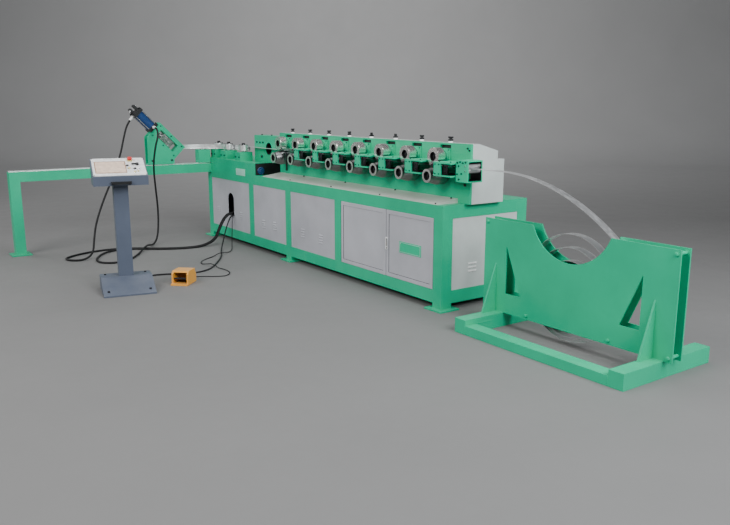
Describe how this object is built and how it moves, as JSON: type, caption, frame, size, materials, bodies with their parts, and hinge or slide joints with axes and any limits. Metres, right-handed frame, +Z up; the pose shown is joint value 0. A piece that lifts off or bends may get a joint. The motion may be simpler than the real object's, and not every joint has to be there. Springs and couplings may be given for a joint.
{
  "type": "round duct forming machine",
  "caption": "Roll forming machine that shapes a sheet strip in stands of flared rolls, bends it into a ring and cuts it, with coil cradle, console and foot switch.",
  "frame": {"origin": "centre of the footprint's bounding box at floor level", "axes": "+X from the bending head towards the coil cradle, +Y from the operator's side to the back, +Z up"},
  "size_m": [6.135, 3.16, 1.5298],
  "materials": {
    "green_paint": "satin enamel",
    "panel_paint": "satin enamel",
    "cover_paint": "satin enamel",
    "blue_paint": "gloss enamel",
    "slate_paint": "satin enamel",
    "orange_paint": "gloss enamel",
    "steel": "machined",
    "roll_steel": "ground and plated",
    "chrome": "plated",
    "sheet_steel": "galvanised sheet",
    "white_panel": "printed panel, left blank",
    "red_plastic": "moulded",
    "black_plastic": "moulded",
    "cord_rubber": "ribbed sleeve"
  },
  "bodies": {
    "machine": {"frame_posts": "green_paint", "frame_rails": "green_paint", "head_base": "green_paint", "cabinet_panels": "panel_paint", "drive_unit": "blue_paint", "housing_front_plate": "green_paint", "housing_cover": "cover_paint", "skirt_strip": "cover_paint", "bearing_blocks": "green_paint", "guide_boxes": "green_paint", "stand_fittings": "steel", "entry_guide": "green_paint", "transfer_block": "green_paint", "bending_slides": "green_paint", "runout_beam": "green_paint", "exit_block": "green_paint", "cutter_channel": "green_paint", "cutter_cylinder": "blue_paint", "cutter_bracket": "green_paint", "cradle_base": "green_paint", "cradle_plate_front": "green_paint", "cradle_plate_back": "green_paint", "cradle_braces": "green_paint", "sheet_strip": "sheet_steel", "console_stand": "slate_paint", "console_box": "slate_paint", "console_panel": "white_panel", "foot_switch_hood": "orange_paint", "hose_rear": "cord_rubber", "hose_head": "cord_rubber", "console_cable": "cord_rubber", "pedal_cable": "cord_rubber"},
    "door_left": {"door_left": "panel_paint"},
    "door_right": {"door_right": "panel_paint"},
    "cutter_blade": {"cutter_blade": "steel"},
    "stop_button": {"stop_button": "red_plastic"},
    "selector_knob": {"selector_knob": "black_plastic"},
    "foot_pedal": {"foot_pedal": "black_plastic"},
    "bend_roll_drive": {"bend_roll_drive": "chrome"},
    "bend_roll_inner": {"bend_roll_inner": "chrome"},
    "bend_roll_push": {"bend_roll_push": "chrome"},
    "entry_roller_lower": {"entry_roller_lower": "chrome"},
    "entry_roller_upper": {"entry_roller_upper": "chrome"},
    "lower_roll_1": {"lower_roll_1": "roll_steel"},
    "lower_roll_2": {"lower_roll_2": "roll_steel"},
    "lower_roll_3": {"lower_roll_3": "roll_steel"},
    "lower_roll_4": {"lower_roll_4": "roll_steel"},
    "lower_roll_5": {"lower_roll_5": "roll_steel"},
    "lower_roll_6": {"lower_roll_6": "roll_steel"},
    "lower_roll_7": {"lower_roll_7": "roll_steel"},
    "lower_roll_8": {"lower_roll_8": "roll_steel"},
    "upper_roll_1": {"upper_roll_1": "roll_steel"},
    "upper_roll_2": {"upper_roll_2": "roll_steel"},
    "upper_roll_3": {"upper_roll_3": "roll_steel"},
    "upper_roll_4": {"upper_roll_4": "roll_steel"},
    "upper_roll_5": {"upper_roll_5": "roll_steel"},
    "upper_roll_6": {"upper_roll_6": "roll_steel"},
    "upper_roll_7": {"upper_roll_7": "roll_steel"},
    "upper_roll_8": {"upper_roll_8": "roll_steel"}
  },
  "joints": [
    {"name": "left_door", "type": "hinge", "parent": "machine", "child": "door_left", "pos_m": [-0.1365, 0.669, 0.4], "axis": [0, 0, 1], "range_deg": [-95, 0]},
    {"name": "right_door", "type": "hinge", "parent": "machine", "child": "door_right", "pos_m": [1.1015, 0.669, 0.4], "axis": [0, 0, 1], "range_deg": [0, 95]},
    {"name": "lower_roll_1", "type": "hinge", "parent": "machine", "child": "lower_roll_1", "pos_m": [0.9855, 0.805, 1.004], "axis": [0, 1, 0], "continuous": true},
    {"name": "upper_roll_1", "type": "hinge", "parent": "machine", "child": "upper_roll_1", "pos_m": [0.9855, 0.805, 1.146], "axis": [0, 1, 0], "continuous": true},
    {"name": "lower_roll_2", "type": "hinge", "parent": "machine", "child": "lower_roll_2", "pos_m": [0.6385, 0.805, 1.004], "axis": [0, 1, 0], "continuous": true},
    {"name": "upper_roll_2", "type": "hinge", "parent": "machine", "child": "upper_roll_2", "pos_m": [0.6385, 0.805, 1.146], "axis": [0, 1, 0], "continuous": true},
    {"name": "lower_roll_3", "type": "hinge", "parent": "machine", "child": "lower_roll_3", "pos_m": [0.2915, 0.805, 1.004], "axis": [0, 1, 0], "continuous": true},
    {"name": "upper_roll_3", "type": "hinge", "parent": "machine", "child": "upper_roll_3", "pos_m": [0.2915, 0.805, 1.146], "axis": [0, 1, 0], "continuous": true},
    {"name": "lower_roll_4", "type": "hinge", "parent": "machine", "child": "lower_roll_4", "pos_m": [-0.0555, 0.805, 1.004], "axis": [0, 1, 0], "continuous": true},
    {"name": "upper_roll_4", "type": "hinge", "parent": "machine", "child": "upper_roll_4", "pos_m": [-0.0555, 0.805, 1.146], "axis": [0, 1, 0], "continuous": true},
    {"name": "lower_roll_5", "type": "hinge", "parent": "machine", "child": "lower_roll_5", "pos_m": [-0.4025, 0.805, 1.004], "axis": [0, 1, 0], "continuous": true},
    {"name": "upper_roll_5", "type": "hinge", "parent": "machine", "child": "upper_roll_5", "pos_m": [-0.4025, 0.805, 1.146], "axis": [0, 1, 0], "continuous": true},
    {"name": "lower_roll_6", "type": "hinge", "parent": "machine", "child": "lower_roll_6", "pos_m": [-0.7495, 0.805, 1.004], "axis": [0, 1, 0], "continuous": true},
    {"name": "upper_roll_6", "type": "hinge", "parent": "machine", "child": "upper_roll_6", "pos_m": [-0.7495, 0.805, 1.146], "axis": [0, 1, 0], "continuous": true},
    {"name": "lower_roll_7", "type": "hinge", "parent": "machine", "child": "lower_roll_7", "pos_m": [-1.0965, 0.805, 1.004], "axis": [0, 1, 0], "continuous": true},
    {"name": "upper_roll_7", "type": "hinge", "parent": "machine", "child": "upper_roll_7", "pos_m": [-1.0965, 0.805, 1.146], "axis": [0, 1, 0], "continuous": true},
    {"name": "lower_roll_8", "type": "hinge", "parent": "machine", "child": "lower_roll_8", "pos_m": [-1.4435, 0.805, 1.004], "axis": [0, 1, 0], "continuous": true},
    {"name": "upper_roll_8", "type": "hinge", "parent": "machine", "child": "upper_roll_8", "pos_m": [-1.4435, 0.805, 1.146], "axis": [0, 1, 0], "continuous": true},
    {"name": "entry_roller_lower", "type": "hinge", "parent": "machine", "child": "entry_roller_lower", "pos_m": [1.3575, 0.805, 1.059], "axis": [0, 1, 0], "continuous": true},
    {"name": "entry_roller_upper", "type": "hinge", "parent": "machine", "child": "entry_roller_upper", "pos_m": [1.3575, 0.805, 1.0955], "axis": [0, 1, 0], "continuous": true},
    {"name": "bend_roll_drive", "type": "hinge", "parent": "machine", "child": "bend_roll_drive", "pos_m": [-2.2525, 0.75275, 1.05], "axis": [0, 0, 1], "continuous": true},
    {"name": "bend_roll_inner", "type": "hinge", "parent": "machine", "child": "bend_roll_inner", "pos_m": [-2.6325, 0.75275, 1.05], "axis": [0, 0, 1], "continuous": true},
    {"name": "bend_roll_push", "type": "hinge", "parent": "machine", "child": "bend_roll_push", "pos_m": [-2.92335, 0.76283, 1.05], "axis": [0, 0, 1], "continuous": true},
    {"name": "blade_slide", "type": "slide", "parent": "machine", "child": "cutter_blade", "axis": [0, 0.7071, -0.7071], "range_m": [0, 0.05]},
    {"name": "stop_press", "type": "slide", "parent": "machine", "child": "stop_button", "axis": [-0.4056, 0.0862, -0.91], "range_m": [0, 0.006]},
    {"name": "selector_turn", "type": "hinge", "parent": "machine", "child": "selector_knob", "pos_m": [-0.90097, -0.88665, 1.04292], "axis": [0.4056, -0.0862, 0.91], "range_deg": [-45, 45]},
    {"name": "pedal_press", "type": "hinge", "parent": "machine", "child": "foot_pedal", "pos_m": [-0.81703, -0.54666, 0.031], "axis": [0.6947, 0.7193, 0], "range_deg": [0, 12], "stiffness_Nm_per_rad": 6, "springref_deg": -17.19}
  ],
  "couplings": [
    {"joint": "upper_roll_1", "follows": "lower_roll_1", "ratio": -1.0667},
    {"joint": "lower_roll_2", "follows": "lower_roll_1", "ratio": 1},
    {"joint": "upper_roll_2", "follows": "lower_roll_1", "ratio": -1.0667},
    {"joint": "lower_roll_3", "follows": "lower_roll_1", "ratio": 1},
    {"joint": "upper_roll_3", "follows": "lower_roll_1", "ratio": -1.0667},
    {"joint": "lower_roll_4", "follows": "lower_roll_1", "ratio": 1},
    {"joint": "upper_roll_4", "follows": "lower_roll_1", "ratio": -1.0667},
    {"joint": "lower_roll_5", "follows": "lower_roll_1", "ratio": 1},
    {"joint": "upper_roll_5", "follows": "lower_roll_1", "ratio": -1.0667},
    {"joint": "lower_roll_6", "follows": "lower_roll_1", "ratio": 1},
    {"joint": "upper_roll_6", "follows": "lower_roll_1", "ratio": -1.0667},
    {"joint": "lower_roll_7", "follows": "lower_roll_1", "ratio": 1},
    {"joint": "upper_roll_7", "follows": "lower_roll_1", "ratio": -1.0667},
    {"joint": "lower_roll_8", "follows": "lower_roll_1", "ratio": 1},
    {"joint": "upper_roll_8", "follows": "lower_roll_1", "ratio": -1.0667},
    {"joint": "entry_roller_lower", "follows": "lower_roll_1", "ratio": 4.2353},
    {"joint": "entry_roller_upper", "follows": "lower_roll_1", "ratio": -4.2353},
    {"joint": "bend_roll_drive", "follows": "lower_roll_1", "ratio": -1.2857},
    {"joint": "bend_roll_inner", "follows": "lower_roll_1", "ratio": -1.2857},
    {"joint": "bend_roll_push", "follows": "lower_roll_1", "ratio": 1.2857}
  ]
}
